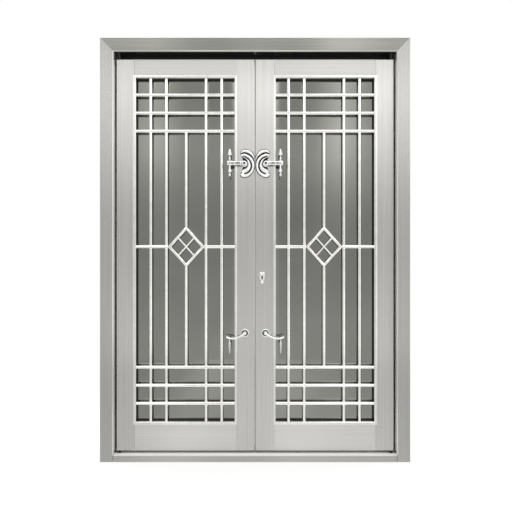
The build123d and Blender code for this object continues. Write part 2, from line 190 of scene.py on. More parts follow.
# Floor: pale, white to the eye, and it keeps the door's shadow near the threshold. The steel mirrors it too,
# with a few broad pools of light across it, each a distance to the right and a level.
floorFacts = {
    "halfWidth": 4000, "drop": 0.5, "colour": "F4F4F2", "shadowShare": 0.35, "fadeStart": 1200,
    "fadeEnd": 3000, "mirroredNear": 0.96, "mirroredFar": 0.97, "nearEnd": 700,
    "pools": [
        (-1200, 0.8), (-800, 0.86), (-470, 1.12), (-130, 0.98), (0, 0.97), (230, 1.14), (700, 1.0),
        (950, 0.9), (1200, 0.86),
    ],
    "rampTop": 2,
}
floorMaterial, tree = newMaterial("paleFloor")
place = addNode(tree, "ShaderNodeTexCoord")
away = addNode(tree, "ShaderNodeVectorMath", links={0: place.outputs["Object"]}, operation="LENGTH")
share = addNode(
    tree,
    "ShaderNodeMapRange",
    {
        "From Min": floorFacts["fadeStart"] * mm,
        "From Max": floorFacts["fadeEnd"] * mm,
        "To Min": 1 - floorFacts["shadowShare"],
        "To Max": 1,
    },
    {"Value": away.outputs["Value"]},
)
rays = addNode(tree, "ShaderNodeLightPath")
toEye = addNode(
    tree,
    "ShaderNodeMath",
    links={0: share.outputs[0], 1: rays.outputs["Is Camera Ray"], 2: rays.outputs["Is Glossy Ray"]},
    operation="MULTIPLY_ADD",
    use_clamp=True,
)
parts = addNode(tree, "ShaderNodeSeparateXYZ", links={"Vector": place.outputs["Object"]})
depth = addNode(tree, "ShaderNodeMath", links={0: parts.outputs["Y"]}, operation="ABSOLUTE")
mirrored = addNode(
    tree,
    "ShaderNodeMapRange",
    {
        "From Min": 0,
        "From Max": floorFacts["nearEnd"] * mm,
        "To Min": floorFacts["mirroredNear"],
        "To Max": floorFacts["mirroredFar"],
    },
    {"Value": depth.outputs[0]},
)
sideways = addNode(
    tree,
    "ShaderNodeMapRange",
    {"From Min": floorFacts["pools"][0][0] * mm, "From Max": floorFacts["pools"][-1][0] * mm},
    {"Value": parts.outputs["X"]},
)
pools = addNode(tree, "ShaderNodeValToRGB", links={"Fac": sideways.outputs[0]})
poolSpan = floorFacts["pools"][-1][0] - floorFacts["pools"][0][0]
top = floorFacts["rampTop"]
setRamp(pools, [(x / poolSpan + 0.5, (level / top,) * 3 + (1,)) for x, level in floorFacts["pools"]])
pools.color_ramp.interpolation = "EASE"
pooled = addNode(
    tree, "ShaderNodeMath", links={0: mirrored.outputs[0], 1: pools.outputs[0]}, operation="MULTIPLY"
)
restored = addNode(tree, "ShaderNodeMath", {1: top}, {0: pooled.outputs[0]}, operation="MULTIPLY")
strength = addNode(
    tree,
    "ShaderNodeMix",
    {"A": 1},
    {"Factor": rays.outputs["Is Glossy Ray"], "B": restored.outputs[0]},
    data_type="FLOAT",
)
matt = addNode(tree, "ShaderNodeBsdfDiffuse", {"Color": linear(floorFacts["colour"])})
glow = addNode(tree, "ShaderNodeEmission", {"Color": (1, 1, 1, 1)}, {"Strength": strength.outputs[0]})
blended = addNode(
    tree, "ShaderNodeMixShader", links={0: toEye.outputs[0], 1: matt.outputs[0], 2: glow.outputs[0]}
)
finishMaterial(tree, blended)
floorForm = bmesh.new()
bmesh.ops.create_grid(floorForm, x_segments=8, y_segments=8, size=floorFacts["halfWidth"] * mm)
floorMesh = bpy.data.meshes.new("floor")
floorForm.to_mesh(floorMesh)
floorForm.free()
floorMesh.materials.append(floorMaterial)
floor = bpy.data.objects.new("floor", floorMesh)
floor.location.z = -floorFacts["drop"] * mm
bpy.context.collection.objects.link(floor)
print("studio and floor ready")

perMetre = 1000  # a noise's scale is the number of its cells in a metre
noiseBand = (0.3, 0.7)  # most of a noise's values lie between these
clearNoise = (0.35, 0.65)  # a narrower band, for clearer clouds
reliefDepth = {"brushed": 0.2, "polished": 0.5, "glass": 1, "matt": 0.3}

# Brushed stainless steel sheet, grade 304, rubbed with a belt along the length of each piece. The scratches
# stretch the reflections across the grain. Real scratches are 0.1 mm apart, so they are drawn coarser here,
# in streaks wide enough to show. A painted highlight makes the tread, the slanted faces along the front edges
# and the faces that look across the opening paler; the tread is also rougher from wear.
paintedSheen = {
    "colour": "F2F1EE",
    "treadFrom": 0.8,  # how squarely a face looks up before it is made rougher by wear and painted paler as a highlight
    "foldStops": ((0.5, 0), (0.65, 1), (0.78, 1), (0.93, 0)),  # of the slanted faces along the front edges
    "revealFrom": -0.6, "revealTo": -0.75,  # of the faces that look across the opening, which are painted paler as a highlight
}


def brushedSteel(name, finish):
    material, tree = newMaterial(name)
    place = addNode(tree, "ShaderNodeTexCoord")
    across, along = perMetre / finish["streakWidth"], perMetre / finish["streakLength"]
    scale = (across, across, along) if finish["grain"] == "upright" else (along, across, across)
    stretched = addNode(tree, "ShaderNodeMapping", {"Scale": scale}, {"Vector": place.outputs["Object"]})
    streaks = addNode(
        tree,
        "ShaderNodeTexNoise",
        {"Scale": 1, "Detail": 4, "Roughness": 0.6},
        {"Vector": stretched.outputs[0]},
    )
    cloud = addNode(
        tree,
        "ShaderNodeTexNoise",
        {"Scale": perMetre / finish["cloudWidth"], "Detail": 2},
        {"Vector": place.outputs["Object"]},
    )
    colour = addNode(tree, "ShaderNodeValToRGB", links={"Fac": streaks.outputs["Fac"]})
    setRamp(colour, zip(noiseBand, (linear(finish["darkStreak"]), linear(finish["paleStreak"]))))
    mixed = addNode(
        tree, "ShaderNodeMath", links={0: streaks.outputs["Fac"], 1: cloud.outputs["Fac"]}, operation="ADD"
    )
    rough = addNode(
        tree,
        "ShaderNodeMapRange",
        {
            "From Min": 2 * noiseBand[0],
            "From Max": 2 * noiseBand[1],
            "To Min": finish["smoothest"],
            "To Max": finish["roughest"],
        },
        {"Value": mixed.outputs[0]},
    )
    surface = addNode(tree, "ShaderNodeNewGeometry")
    facing = addNode(tree, "ShaderNodeSeparateXYZ", links={"Vector": surface.outputs["Normal"]})
    spot = addNode(tree, "ShaderNodeSeparateXYZ", links={"Vector": surface.outputs["Position"]})
    # Painted highlight on faces that look up: they are made rougher, as wear, and painted paler.
    treadWearAndHighlight = addNode(
        tree,
        "ShaderNodeMapRange",
        {"From Min": paintedSheen["treadFrom"], "From Max": 1, "To Min": 0, "To Max": finish["paintedTreadHighlightAndWear"]},
        {"Value": facing.outputs["Z"]},
    )
    wornRough = addNode(
        tree, "ShaderNodeMath", links={0: rough.outputs[0], 1: treadWearAndHighlight.outputs[0]}, operation="MAXIMUM"
    )
    # Painted highlight on the slanted faces along the front edges.
    frontward = addNode(tree, "ShaderNodeMath", {1: -1}, {0: facing.outputs["Y"]}, operation="MULTIPLY")
    foldHighlightMask = addNode(tree, "ShaderNodeValToRGB", links={"Fac": frontward.outputs[0]})
    setRamp(foldHighlightMask, [(lean, (share,) * 3 + (1,)) for lean, share in paintedSheen["foldStops"]])
    foldHighlightShare = addNode(
        tree,
        "ShaderNodeMath",
        {1: finish["paintedFoldHighlight"]},
        {0: foldHighlightMask.outputs["Color"]},
        operation="MULTIPLY",
    )
    # Painted highlight on the faces that look across the opening.
    outward = addNode(
        tree, "ShaderNodeMath", links={0: facing.outputs["X"], 1: spot.outputs["X"]}, operation="MULTIPLY"
    )
    revealHighlightShare = addNode(
        tree,
        "ShaderNodeMapRange",
        {
            "From Min": paintedSheen["revealFrom"],
            "From Max": paintedSheen["revealTo"],
            "To Min": 0,
            "To Max": finish["paintedRevealHighlight"],
        },
        {"Value": outward.outputs[0]},
    )
    treadAndFoldHighlight = addNode(
        tree, "ShaderNodeMath", links={0: treadWearAndHighlight.outputs[0], 1: foldHighlightShare.outputs[0]}, operation="MAXIMUM"
    )
    paintedHighlightShare = addNode(
        tree, "ShaderNodeMath", links={0: treadAndFoldHighlight.outputs[0], 1: revealHighlightShare.outputs[0]}, operation="MAXIMUM"
    )
    # the painted highlights mix the base colour towards a pale steel
    paintedHighlightColour = addNode(
        tree,
        "ShaderNodeMix",
        {"B": linear(paintedSheen["colour"])},
        {"Factor": paintedHighlightShare.outputs[0], "A": colour.outputs["Color"]},
        data_type="RGBA",
    )
    relief = addNode(
        tree,
        "ShaderNodeBump",
        {"Strength": finish["relief"], "Distance": reliefDepth["brushed"] * mm},
        {"Height": streaks.outputs["Fac"]},
    )
    grainAxis = addNode(
        tree, "ShaderNodeTangent", direction_type="RADIAL", axis="Z" if finish["grain"] == "upright" else "X"
    )
    shader = addNode(
        tree,
        "ShaderNodeBsdfPrincipled",
        {"Metallic": 1, "Anisotropic": finish["stretch"]},
        {
            "Base Color": paintedHighlightColour.outputs["Result"],
            "Roughness": wornRough.outputs[0],
            "Normal": relief.outputs[0],
            "Tangent": grainAxis.outputs[0],
        },
    )
    finishMaterial(tree, shader)
    return material


leafFinish = {
    "grain": "upright", "streakWidth": 9, "streakLength": 900, "cloudWidth": 260, "darkStreak": "BBBAB7",
    "paleStreak": "C5C4C0", "smoothest": 0.18, "roughest": 0.23, "relief": 0.015, "stretch": 0.93,
    "paintedTreadHighlightAndWear": 0, "paintedFoldHighlight": 0, "paintedRevealHighlight": 0,
}
railFinish = dict(
    leafFinish, grain="level", darkStreak="C6C5C2", paleStreak="CFCECB", smoothest=0.3, roughest=0.36,
    stretch=0.5,
)
frameFinish = dict(
    leafFinish, darkStreak="ADACA9", paleStreak="B8B7B4", smoothest=0.24, roughest=0.3, paintedFoldHighlight=0.5,
    paintedRevealHighlight=0.85,
)
headFinish = dict(
    frameFinish, grain="level", darkStreak="8B8B85", paleStreak="969690", smoothest=0.2, roughest=0.25,
    stretch=0.85, paintedRevealHighlight=0,
)
thresholdFinish = dict(
    frameFinish, grain="level", darkStreak="A9A8A5", paleStreak="B3B2AF", smoothest=0.35, roughest=0.42,
    stretch=0.4, paintedTreadHighlightAndWear=0.9, paintedFoldHighlight=0, paintedRevealHighlight=0,
)
leafUpright = brushedSteel("brushedStainlessUpright", leafFinish)
leafLevel = brushedSteel("brushedStainlessLevel", railFinish)
frameUpright = brushedSteel("satinStainlessUpright", frameFinish)
headLevel = brushedSteel("satinStainlessHead", headFinish)
thresholdLevel = brushedSteel("scuffedStainlessThreshold", thresholdFinish)  # feet have dulled its tread, and its top is painted paler as a highlight


# Mirror-polished stainless steel, buffed by hand: nearly white, with faint clouds where the mop left
# compound. Plated castings and blackened steel have the same clouds in other colours.
def polishedMetal(name, finish):
    material, tree = newMaterial(name)
    place = addNode(tree, "ShaderNodeTexCoord")
    cloud = addNode(
        tree,
        "ShaderNodeTexNoise",
        {"Scale": perMetre / finish["cloudWidth"], "Detail": 4, "Roughness": 0.6},
        {"Vector": place.outputs["Object"]},
    )
    colour = addNode(tree, "ShaderNodeValToRGB", links={"Fac": cloud.outputs["Fac"]})
    setRamp(colour, zip(clearNoise, (linear(finish["dull"]), linear(finish["bright"]))))
    rough = addNode(
        tree,
        "ShaderNodeMapRange",
        {
            "From Min": noiseBand[0],
            "From Max": noiseBand[1],
            "To Min": finish["smoothest"],
            "To Max": finish["roughest"],
        },
        {"Value": cloud.outputs["Fac"]},
    )
    ripple = addNode(
        tree,
        "ShaderNodeTexNoise",
        {"Scale": perMetre / finish["rippleWidth"], "Detail": 1},
        {"Vector": place.outputs["Object"]},
    )
    relief = addNode(
        tree,
        "ShaderNodeBump",
        {"Strength": finish["relief"], "Distance": reliefDepth["polished"] * mm},
        {"Height": ripple.outputs["Fac"]},
    )
    shader = addNode(
        tree,
        "ShaderNodeBsdfPrincipled",
        {"Metallic": 1},
        {"Base Color": colour.outputs["Color"], "Roughness": rough.outputs[0], "Normal": relief.outputs[0]},
    )
    finishMaterial(tree, shader)
    return material


polishedTube = polishedMetal(
    "polishedStainlessTube",
    {
        "cloudWidth": 40, "rippleWidth": 30, "dull": "E6E5E1", "bright": "F3F2EE", "smoothest": 0.06,
        "roughest": 0.12, "relief": 0.05,
    },
)
beadSteel = polishedMetal(  # bright-rolled strip, a little duller than the tubes
    "brightStainlessBead",
    {
        "cloudWidth": 60, "rippleWidth": 40, "dull": "D6D5D1", "bright": "E1E0DC", "smoothest": 0.14,
        "roughest": 0.2, "relief": 0.04,
    },
)
satinCasting = polishedMetal(  # die-cast zinc under satin nickel, which spreads the light over its ridges
    "satinNickelCasting",
    {
        "cloudWidth": 18, "rippleWidth": 8, "dull": "F0F0EE", "bright": "FBFBF9", "smoothest": 0.24,
        "roughest": 0.32, "relief": 0.08,
    },
)
pendantMetal = polishedMetal(  # turned zinc, plated but never buffed
    "dullNickelPendant",
    {
        "cloudWidth": 12, "rippleWidth": 5, "dull": "CCCBC7", "bright": "DCDBD7", "smoothest": 0.25,
        "roughest": 0.35, "relief": 0.08,
    },
)
polishedCasting = polishedMetal(  # die-cast zinc with chrome plate, so a touch bluer and sharper
    "chromePlatedCasting",
    {
        "cloudWidth": 25, "rippleWidth": 12, "dull": "E6E7E6", "bright": "F4F4F2", "smoothest": 0.05,
        "roughest": 0.1, "relief": 0.06,
    },
)
turnedSteel = polishedMetal(  # turned and blackened against rust
    "blackenedPivotSteel",
    {
        "cloudWidth": 8, "rippleWidth": 2, "dull": "3C3B39", "bright": "4A4946", "smoothest": 0.35,
        "roughest": 0.45, "relief": 0.1,
    },
)
darkHollowsAndShade = polishedMetal(  # dark metal for the hollows of the castings; also painted shade in the rose's dish, behind the keyhole and round the scroll plate
    "darkHollowsAndPaintedShade",
    {
        "cloudWidth": 10, "rippleWidth": 4, "dull": "242321", "bright": "3A3935", "smoothest": 0.45,
        "roughest": 0.6, "relief": 0.2,
    },
)


# Grey solar-control glass: a metal oxide film on its face mirrors about a quarter of the light, and the dark
# body behind it lets nothing show through. Roller waves from toughening bend the reflections a little.
def coatedGlass(finish):
    material, tree = newMaterial("greyCoatedGlass")
    place = addNode(tree, "ShaderNodeTexCoord")
    cloud = addNode(
        tree,
        "ShaderNodeTexNoise",
        {"Scale": perMetre / finish["cloudWidth"], "Detail": 3},
        {"Vector": place.outputs["Object"]},
    )
    colour = addNode(tree, "ShaderNodeValToRGB", links={"Fac": cloud.outputs["Fac"]})
    setRamp(colour, zip(noiseBand, (linear(finish["dark"]), linear(finish["pale"]))))
    wave = addNode(
        tree,
        "ShaderNodeTexNoise",
        {"Scale": perMetre / finish["waveWidth"], "Detail": 1},
        {"Vector": place.outputs["Object"]},
    )
    relief = addNode(
        tree,
        "ShaderNodeBump",
        {"Strength": finish["relief"], "Distance": reliefDepth["glass"] * mm},
        {"Height": wave.outputs["Fac"]},
    )
    shader = addNode(
        tree,
        "ShaderNodeBsdfPrincipled",
        {"Roughness": finish["roughness"], "Metallic": 1},
        {"Base Color": colour.outputs["Color"], "Normal": relief.outputs[0]},
    )
    finishMaterial(tree, shader)
    return material


paneGlass = coatedGlass(
    {
        "cloudWidth": 300, "waveWidth": 180, "dark": "868681", "pale": "8D8D88", "roughness": 0.03,
        "relief": 0.05,
    }
)


# Matt black on the head stop, painted shade for the deep gap above the leaves, and extruded EPDM rubber,
# black round the panes and grey for the meeting gasket. All three have a fine speckle and no shine.
def mattCoat(name, finish):
    material, tree = newMaterial(name)
    place = addNode(tree, "ShaderNodeTexCoord")
    speckle = addNode(
        tree,
        "ShaderNodeTexNoise",
        {"Scale": perMetre / finish["grainWidth"], "Detail": 3},
        {"Vector": place.outputs["Object"]},
    )
    colour = addNode(tree, "ShaderNodeValToRGB", links={"Fac": speckle.outputs["Fac"]})
    setRamp(colour, zip(noiseBand, (linear(finish["dark"]), linear(finish["pale"]))))
    relief = addNode(
        tree,
        "ShaderNodeBump",
        {"Strength": finish["relief"], "Distance": reliefDepth["matt"] * mm},
        {"Height": speckle.outputs["Fac"]},
    )
    shader = addNode(
        tree,
        "ShaderNodeBsdfPrincipled",
        {"Roughness": finish["roughness"]},
        {"Base Color": colour.outputs["Color"], "Normal": relief.outputs[0]},
    )
    finishMaterial(tree, shader)
    return material


stopShadeFinish = {"grainWidth": 2, "dark": "0C0C0C", "pale": "151514", "roughness": 0.55, "relief": 0.25}
sealFinish = {"grainWidth": 3, "dark": "252523", "pale": "30302E", "roughness": 0.7, "relief": 0.25}
gasketFinish = {"grainWidth": 3, "dark": "8C8B87", "pale": "9A9995", "roughness": 0.6, "relief": 0.25}
stopShadeBlack = mattCoat("paintedShadeBlack", stopShadeFinish)
sealRubber = mattCoat("blackGlazingRubber", sealFinish)
gasketRubber = mattCoat("greyGasketRubber", gasketFinish)
print("materials ready")

# Pieces that keep their solid's shape
nodeFinish = {
    frameUpright: ["left_jamb", "right_jamb", "left_stop", "right_stop"],
    headLevel: ["frame_head"],
    thresholdLevel: ["threshold"],
    leafUpright: ["left_hinge_stile", "right_hinge_stile", "left_meeting_stile", "right_meeting_stile"],
    leafLevel: ["left_top_rail", "right_top_rail", "left_bottom_rail", "right_bottom_rail"],
    beadSteel: ["left_back_beads", "right_back_beads"],
    turnedSteel: ["pivot_pins", "left_pivot_bushes", "right_pivot_bushes"],
    paneGlass: ["left_glass", "right_glass"],
    # the head stop is painted black as shade in the gap above the leaves
    stopShadeBlack: ["head_stop"],
    gasketRubber: ["meeting_gasket"],
}
for material, names in nodeFinish.items():
    for name in names:
        nodes[name].data.materials.clear()
        nodes[name].data.materials.append(material)


# Tools for the new meshes, which are drawn on the right leaf in millimetres
nearAxis = 0.01  # a turned outline ends this close to its axis


def smoothLine(points, steps=4):
    # a line that passes softly through every point
    line = []
    for i in range(len(points) - 1):
        before, start = points[max(i - 1, 0)], points[i]
        end, after = points[i + 1], points[min(i + 2, len(points) - 1)]
        for step in range(steps):
            t = step / steps
            line.append(
                tuple(
                    b
                    + 0.5 * t * (c - a + (2 * a - 5 * b + 4 * c - d) * t + (3 * b - a - 3 * c + d) * t**2)
                    for a, b, c, d in zip(before, start, end, after)
                )
            )
    return line + [tuple(points[-1])]


def joinRings(form, rings, closed=False):
    pairs = list(zip(rings, rings[1:])) + ([(rings[-1], rings[0])] if closed else [])
    for first, second in pairs:
        for i in range(len(first)):
            j = (i + 1) % len(first)
            form.faces.new((first[i], first[j], second[j], second[i]))
    if not closed:
        form.faces.new(rings[0][::-1])
        form.faces.new(rings[-1])


mitreLimit = 0.3  # a mitre reaches at most 1 / 0.3 of the bar's radius


def addBar(form, line, y, closed=False, sides=20):
    # a round bar in a plane of constant y, mitred at its corners; each point is x, z and the radii across the
    # bar in that plane and in depth
    rings = []
    for i, (x, z, across, depth) in enumerate(line):
        previous = line[i - 1] if closed or i else line[i]
        following = line[(i + 1) % len(line)] if closed or i + 1 < len(line) else line[i]
        arriving = Vector((x - previous[0], z - previous[1]))
        leaving = Vector((following[0] - x, following[1] - z))
        arriving = (arriving if arriving.length else leaving).normalized()
        leaving = (leaving if leaving.length else arriving).normalized()
        mean = (arriving + leaving).normalized()
        normal = Vector((-mean.y, mean.x)) / max(mean.dot(leaving), mitreLimit)
        ring = []
        for k in range(sides):
            turn = 2 * pi * k / sides
            shift = normal * across * cos(turn)
            ring.append(form.verts.new((x + shift.x, y + depth * sin(turn), z + shift.y)))
        rings.append(ring)
    joinRings(form, rings, closed)


def addTurned(form, outline, x, y, z, sides=32, axis="Z"):
    # a turned form: each point of the outline is radius and distance along the axis
    rings = []
    for radius, height in outline:
        ring = []
        for k in range(sides):
            a, b = radius * cos(2 * pi * k / sides), radius * sin(2 * pi * k / sides)
            spot = (x + a, y + b, z + height) if axis == "Z" else (x + a, y + height, z + b)
            ring.append(form.verts.new(spot))
        rings.append(ring)
    joinRings(form, rings)


sharpAngles = {"bead": 30, "bar": 40, "casting": 50}  # degrees between faces that count as a sharp edge


def makePiece(name, draw, hand, material, body, replaced, sharpAngle):
    form = bmesh.new()
    draw(form)
    form.verts.ensure_lookup_table()
    bmesh.ops.recalc_face_normals(form, faces=form.faces)
    bmesh.ops.scale(form, vec=(hand * mm, mm, mm), verts=form.verts)
    if hand < 0:
        bmesh.ops.reverse_faces(form, faces=form.faces)
    mesh = bpy.data.meshes.new(name)
    form.to_mesh(mesh)
    form.free()
    mesh.materials.append(material)
    mesh.shade_smooth()
    mesh.set_sharp_from_angle(angle=radians(sharpAngle))
    piece = bpy.data.objects.new(name, mesh)
    bpy.context.collection.objects.link(piece)
    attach(piece, body)
    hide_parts(*replaced)


# Front beads: polished strips with a crowned face, mitred at the corners, and narrower on the lock side
bead = {
    "width": 17, "leg": 9, "edge": 0.9, "crown": 3, "crownPower": 2.6, "crownSteps": 10, "kerf": 0.35,
    "lockSideShare": 0.7,
}
hands = (("left", -1), ("right", 1))
beadLow, beadHigh = (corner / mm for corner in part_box("right_front_beads"))
openIn, openOut = beadLow.x + bead["width"], beadHigh.x - bead["width"]
openLow, openHigh = beadLow.z + bead["width"], beadHigh.z - bead["width"]
leafFront, leafBack = (corner.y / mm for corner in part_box("right_top_rail"))
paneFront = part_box("right_glass")[0].y / mm


def addBeads(form):
    crown = []
    for i in range(bead["crownSteps"] + 1):
        q = 2 * i / bead["crownSteps"] - 1
        rise = (bead["crown"] - bead["edge"]) * (1 - abs(q) ** bead["crownPower"])
        crown.append(((q + 1) / 2 * bead["width"], leafFront - bead["edge"] - rise))
    width, leg = bead["width"], bead["leg"]
    profile = [(0, paneFront), *crown, (width, leafFront), (leg, leafFront), (leg, paneFront)]
    pull = bead["kerf"] / sqrt(2)
    for side in range(4):
        ends = []
        for end in (0, 1):
            ring = []
            for u, y in profile:
                lockSide = openIn - u * bead["lockSideShare"]
                corners = [
                    (lockSide, openLow - u),
                    (openOut + u, openLow - u),
                    (openOut + u, openHigh + u),
                    (lockSide, openHigh + u),
                ]
                x, z = corners[(side + end) % 4]
                other = corners[(side + 1 - end) % 4]
                run = Vector((other[0] - x, other[1] - z)).normalized() * pull
                ring.append(form.verts.new((x + run.x, y, z + run.y)))
            ends.append(ring)
        joinRings(form, ends)


# Black glazing rubber that lines the inner part of the opening, from 20 mm behind the leaf's face inwards
seal = {"thick": 1.2, "start": 20}


def addSeal(form):
    near, far, thick = leafFront + seal["start"], paneFront, seal["thick"]
    rings = []
    for depth, inset in ((near, 0), (near + thick, thick), (far, thick), (far, 0)):
        low, high = (openIn + inset, openLow + inset), (openOut - inset, openHigh - inset)
        corners = (low, (high[0], low[1]), high, (low[0], high[1]))
        rings.append([form.verts.new((x, depth, z)) for x, z in corners])
    joinRings(form, rings, closed=True)


# Grille: polished tubes welded in one plane, with a small weld collar on each side of a crossing
grille = {
    "axisY": -4, "middle": 396, "uprightRadius": 9.5, "crossRadius": 11, "uprights": (-204, -114, 114, 204),
    "crossbars": (2090, 1986, 1882, 526, 422, 318), "centreHeight": 1218, "diamondWidth": 96,
    "diamondHeight": 107, "diamondReach": 8, "rodRadius": 6,
    "collar": 1.6, "collarSink": 0.3, "collarInset": 1.5, "collarSteps": 6,
}


def addCollar(form, x, z, radius, upright):
    # the ground-down bead of weld round a tube
    outline = []
    for k in range(grille["collarSteps"] + 1):
        turn = pi * k / grille["collarSteps"]
        swell = grille["collar"] * sin(turn) - grille["collarSink"]
        outline.append((radius + swell, -grille["collar"] * cos(turn)))
    start = len(form.verts)
    addTurned(form, outline, 0, 0, 0, sides=24)
    form.verts.ensure_lookup_table()
    for vertex in form.verts[start:]:
        a, b, c = vertex.co
        vertex.co = (x + a, grille["axisY"] + b, z + c) if upright else (x + c, grille["axisY"] + b, z + a)


def addGrille(form):
    tube, cross = grille["uprightRadius"], grille["crossRadius"]
    y, middle, centre = grille["axisY"], grille["middle"], grille["centreHeight"]
    beside, inset = cross + grille["collarSink"], grille["collarInset"]
    wide, tall = (grille[key] + grille["diamondReach"] for key in ("diamondWidth", "diamondHeight"))
    upper, lower = grille["crossbars"][2], grille["crossbars"][3]
    for offset in grille["uprights"]:
        x = middle + offset
        addBar(form, [(x, openLow, tube, tube), (x, openHigh, tube, tube)], y)
        for z in (*grille["crossbars"], centre):
            for side in (-1, 1):
                addCollar(form, x, z + side * beside, tube, True)
        addCollar(form, x, openLow + inset, tube, True)
        addCollar(form, x, openHigh - inset, tube, True)
    for low, high in ((centre + tall, upper), (lower, centre - tall)):
        addBar(form, [(middle, low, tube, tube), (middle, high, tube, tube)], y)
    addCollar(form, middle, upper - beside, tube, True)
    addCollar(form, middle, lower + beside, tube, True)
    for z in grille["crossbars"]:
        addBar(form, [(openIn, z, cross, cross), (openOut, z, cross, cross)], y)
        addCollar(form, openIn + inset, z, cross, False)
        addCollar(form, openOut - inset, z, cross, False)
    for start, end in ((openIn, middle - wide), (middle + wide, openOut)):
        addBar(form, [(start, centre, cross, cross), (end, centre, cross, cross)], y)


def addDiamond(form):
    tube, rod = grille["uprightRadius"], grille["rodRadius"]
    y, middle, centre = grille["axisY"], grille["middle"], grille["centreHeight"]
    wide, tall = grille["diamondWidth"], grille["diamondHeight"]
    corners = ((wide, 0), (0, tall), (-wide, 0), (0, -tall))
    addBar(form, [(middle + a, centre + b, tube, tube) for a, b in corners], y, closed=True)
    for lean in (1, -1):
        start = (middle - wide / 2, centre - lean * tall / 2, rod, rod)
        end = (middle + wide / 2, centre + lean * tall / 2, rod, rod)
        addBar(form, [start, end], y)


for side, hand in hands:
    for name, draw, material, slot, replaced, sharp in (
        ("FrontBeads", addBeads, beadSteel, "bead_steel", [f"{side}_front_beads"], "bead"),
        ("GlazingSeal", addSeal, sealRubber, "gasket_rubber", [], "bar"),
        ("Grille", addGrille, polishedTube, "polished_steel", [f"{side}_grille"], "bar"),
        ("Diamond", addDiamond, polishedTube, "polished_steel", [f"{side}_diamond"], "bar"),
    ):
        makePiece(side + name, draw, hand, material, f"{side}_leaf", replaced, sharpAngles[sharp])
print("beads and grilles made")

# Upper handle's plate: a C of raised ridges round the spindle, on a dark backing whose thin edge round them
# is painted shadow. Each row gives the angle round the spindle, 0 towards the meeting line and 90 upwards,
# then the two edges of the inner, middle and outer ridge.
scroll = {
    "spindle": (61, 1692),
    "rows": [
        (-112, 40, 52, 57, 68), (-102, 33, 53, 59, 75), (-90, 28, 53, 59.5, 78), (-60, 23, 47.5, 54.5, 71),
        (-30, 21, 40.5, 47.5, 61.5), (0, 21, 34.5, 41.5, 56), (30, 22, 32.5, 39.5, 55),
        (60, 26, 32.5, 39.5, 55), (90, 33, 37.5, 43.5, 58.5), (101, 38, 42, 48, 58.5),
        (112, 43, 46, 51, 56.5),
    ],
    "crownRows": [
        (18, 60, 62), (30, 61, 66), (45, 62, 73.5), (60, 62.5, 79.5), (75, 65, 82.5), (90, 66.5, 81.5),
        (102, 65, 76), (111, 62, 68),
    ],
    "crest": 8, "steepness": 1.1, "roundness": 2.4, "thinnest": 0.4, "taperRows": 5, "ridgeSteps": 12,
    # the backing's margin round the ridges is a painted shadow line
    "backing": 1.5, "shadowLineMargin": 2.8, "backingHole": 6, "meetingReach": 58.4,
    "eyes": ((-13, 50, 8, 6.5), (-9, -58, 10, 6.5)), "eyeSteps": 8,
    "hub": [(17, 0), (17, -2.6), (16, -3.7), (14, -4), (12, -3.6), (10, -4), (nearAxis, -4)],
}


def ringOnPlate(form, angle, line):
    # the line holds distances from the spindle and heights above the leaf
    spindleX, spindleZ = scroll["spindle"]
    across, up = cos(radians(angle)), sin(radians(angle))
    return [form.verts.new((spindleX - r * across, leafFront - h, spindleZ + r * up)) for r, h in line]


def addRidge(form, rows):
    # one rounded ridge, from rows of angle, inner and outer distance from the spindle, thin at both ends
    base, steps = scroll["backing"], scroll["ridgeSteps"]
    rings = []
    for i, (angle, inner, outer) in enumerate(rows):
        fromEnd = min(1, min(i, len(rows) - 1 - i) / scroll["taperRows"])
        swell = sqrt(1 - (1 - fromEnd) ** 2)
        middle, half = (inner + outer) / 2, max(scroll["thinnest"], (outer - inner) / 2 * swell)
        crest = min(scroll["crest"], base + half * scroll["steepness"])
        line = [(middle - half, 0)]
        for step in range(steps + 1):
            q = 2 * step / steps - 1
            rise = max(0, 1 - abs(q) ** scroll["roundness"]) ** 0.5
            line.append((middle + q * half, base + (crest - base) * rise))
        line.append((middle + half, 0))
        rings.append(ringOnPlate(form, angle, line))
    joinRings(form, rings)


def addScroll(form):
    spindleX, spindleZ = scroll["spindle"]
    rows = smoothLine(scroll["rows"], 8)
    addRidge(form, [(row[0], row[1], row[2]) for row in rows])
    addRidge(form, [(row[0], row[3], row[4]) for row in rows])
    addRidge(form, smoothLine(scroll["crownRows"], 6))
    turns = [pi / 2 * k / scroll["eyeSteps"] for k in range(scroll["eyeSteps"])]
    for u, v, radius, height in scroll["eyes"]:
        dome = [(radius * cos(turn), -height * sin(turn)) for turn in turns] + [(nearAxis, -height)]
        addTurned(form, dome, spindleX - u, leafFront, spindleZ + v, axis="Y")
    addTurned(form, scroll["hub"], spindleX, leafFront, spindleZ, sides=48, axis="Y")


def addBackingAndShadowLine(form):
    # the flat dark plate behind the ridges, which shows between them, and as a thin edge round them that is
    # painted shadow
    margin, base, hole = scroll["shadowLineMargin"], scroll["backing"], scroll["backingHole"]
    outer = [(row[0], row[4] + margin) for row in smoothLine(scroll["rows"], 6)]
    crown = [(row[0], row[2] + margin) for row in smoothLine(scroll["crownRows"], 6)]
    rings = []
    for angle, reach in outer:
        for (a, first), (b, second) in zip(crown, crown[1:]):
            if a <= angle <= b:
                reach = max(reach, first + (second - first) * (angle - a) / (b - a))
        across = cos(radians(angle))
        if across > 0:  # the plate stays on its own leaf
            reach = min(reach, scroll["meetingReach"] / across)
        rings.append(ringOnPlate(form, angle, [(hole, 0), (hole, base), (reach, base), (reach, 0)]))
    joinRings(form, rings)


